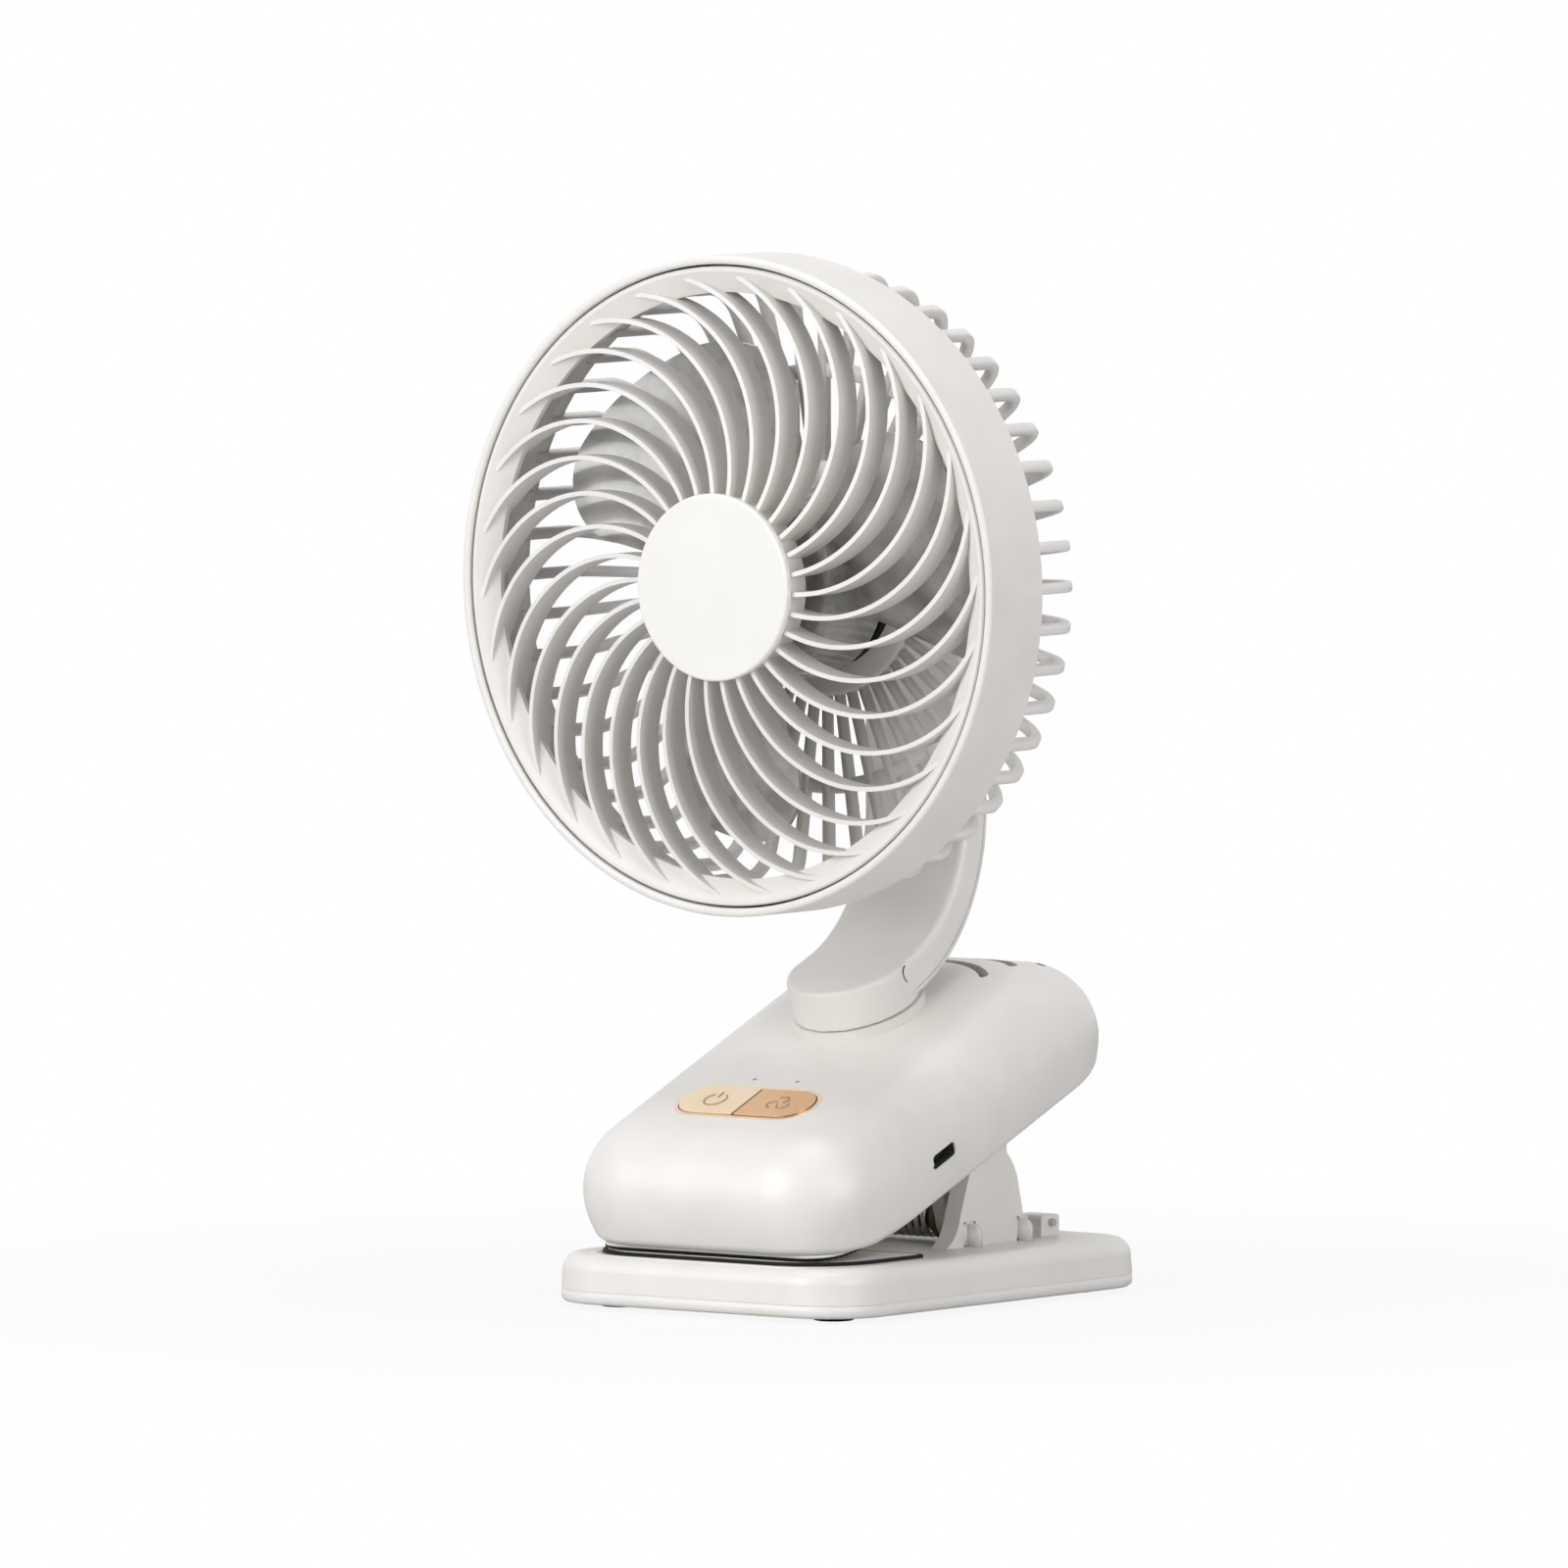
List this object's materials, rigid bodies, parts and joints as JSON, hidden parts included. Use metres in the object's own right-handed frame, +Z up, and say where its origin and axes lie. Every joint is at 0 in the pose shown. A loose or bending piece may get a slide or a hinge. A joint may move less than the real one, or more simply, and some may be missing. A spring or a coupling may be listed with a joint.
{
  "type": "clip fan",
  "caption": "Clip-on desk fan: round head with swirl-vane front grille and ribbed rear cage, on a C-shaped swivel arm above a spring-hinged battery clip and a rounded foot.",
  "frame": {"origin": "on the surface the fan stands on, under the middle of its foot", "axes": "+Z up; the fan blows towards -Y; the charging port is on the +X side"},
  "size_m": [0.174, 0.14, 0.2785],
  "materials": {
    "shell": "warm off-white moulding, soft satin",
    "disc": "off-white, smooth satin",
    "blade": "off-white, glossy, slightly translucent",
    "gold_key": "light gold, satin metallic coating",
    "gold": "light gold, bright rim",
    "black_rubber": "matte",
    "cream_rubber": "matte",
    "bronze": "sintered, satin",
    "steel": "plain, turned",
    "steel_wire": "bright drawn wire",
    "screw": "zinc-coated",
    "housing_dark": "moulded",
    "lamination": "stacked sheet",
    "copper": "enamelled wire",
    "magnet": "sintered ferrite",
    "cell": "plain sleeve",
    "board": "coated board",
    "switch": "moulded",
    "clear": "clear rod"
  },
  "bodies": {
    "base": {"base_plate": "shell", "base_cover": "shell", "lower_pad": "black_rubber", "pad_facing": "cream_rubber", "rubber_feet": "black_rubber", "base_screws": "screw", "hinge_pin": "steel", "spring_bush": "bronze", "torsion_spring": "steel_wire", "anchor_bar": "steel"},
    "clip_body": {"upper_shell": "shell", "lower_cover": "shell", "upper_pad": "black_rubber", "battery": "cell", "control_board": "board", "key_switches": "switch", "key_bezel": "gold", "light_pipes": "clear", "usb_socket": "steel", "charge_board": "board", "shell_screws": "screw"},
    "power_button": {"power_key": "gold_key"},
    "mode_button": {"mode_key": "gold_key"},
    "arm": {"arm_shell": "shell", "arm_cover": "shell", "swivel_post": "steel", "swivel_retainer": "steel", "tilt_pin": "steel", "tilt_nut": "steel", "tilt_washers": "steel"},
    "head": {"front_grille": "shell", "grille_cap": "disc", "drum_ring": "shell", "rear_grille": "shell", "grille_screws": "screw", "motor_base": "housing_dark", "motor_screws": "screw", "motor_stator": "lamination", "motor_windings": "copper", "motor_bearing": "bronze", "tilt_knuckle": "shell"},
    "impeller": {"impeller": "blade", "motor_shaft": "steel", "rotor_can": "steel", "magnet_ring": "magnet"}
  },
  "joints": [
    {"name": "clip_open", "type": "hinge", "parent": "base", "child": "clip_body", "pos_m": [0, 0.0225, 0.0215], "axis": [-1, 0, 0], "range_deg": [0, 35], "stiffness_Nm_per_rad": 1.2, "springref_deg": -68.75, "deforming": ["torsion_spring"]},
    {"name": "arm_swivel", "type": "hinge", "parent": "clip_body", "child": "arm", "pos_m": [0, 0.0045, 0.0777], "axis": [0, -0.3827, 0.9239], "range_deg": [-170, 170]},
    {"name": "head_tilt", "type": "hinge", "parent": "arm", "child": "head", "pos_m": [0, 0.0105, 0.1915], "axis": [-1, 0, 0], "range_deg": [-15, 90]},
    {"name": "impeller_spin", "type": "hinge", "parent": "head", "child": "impeller", "pos_m": [0, -0.0295, 0.1915], "axis": [0, -1, 0], "continuous": true},
    {"name": "power_press", "type": "slide", "parent": "clip_body", "child": "power_button", "axis": [0, 0.3811, -0.9245], "range_m": [0, 0.0006], "stiffness_N_per_m": 1500, "springref_m": -0.0003},
    {"name": "mode_press", "type": "slide", "parent": "clip_body", "child": "mode_button", "axis": [0, 0.3811, -0.9245], "range_m": [0, 0.0006], "stiffness_N_per_m": 1500, "springref_m": -0.0003}
  ]
}
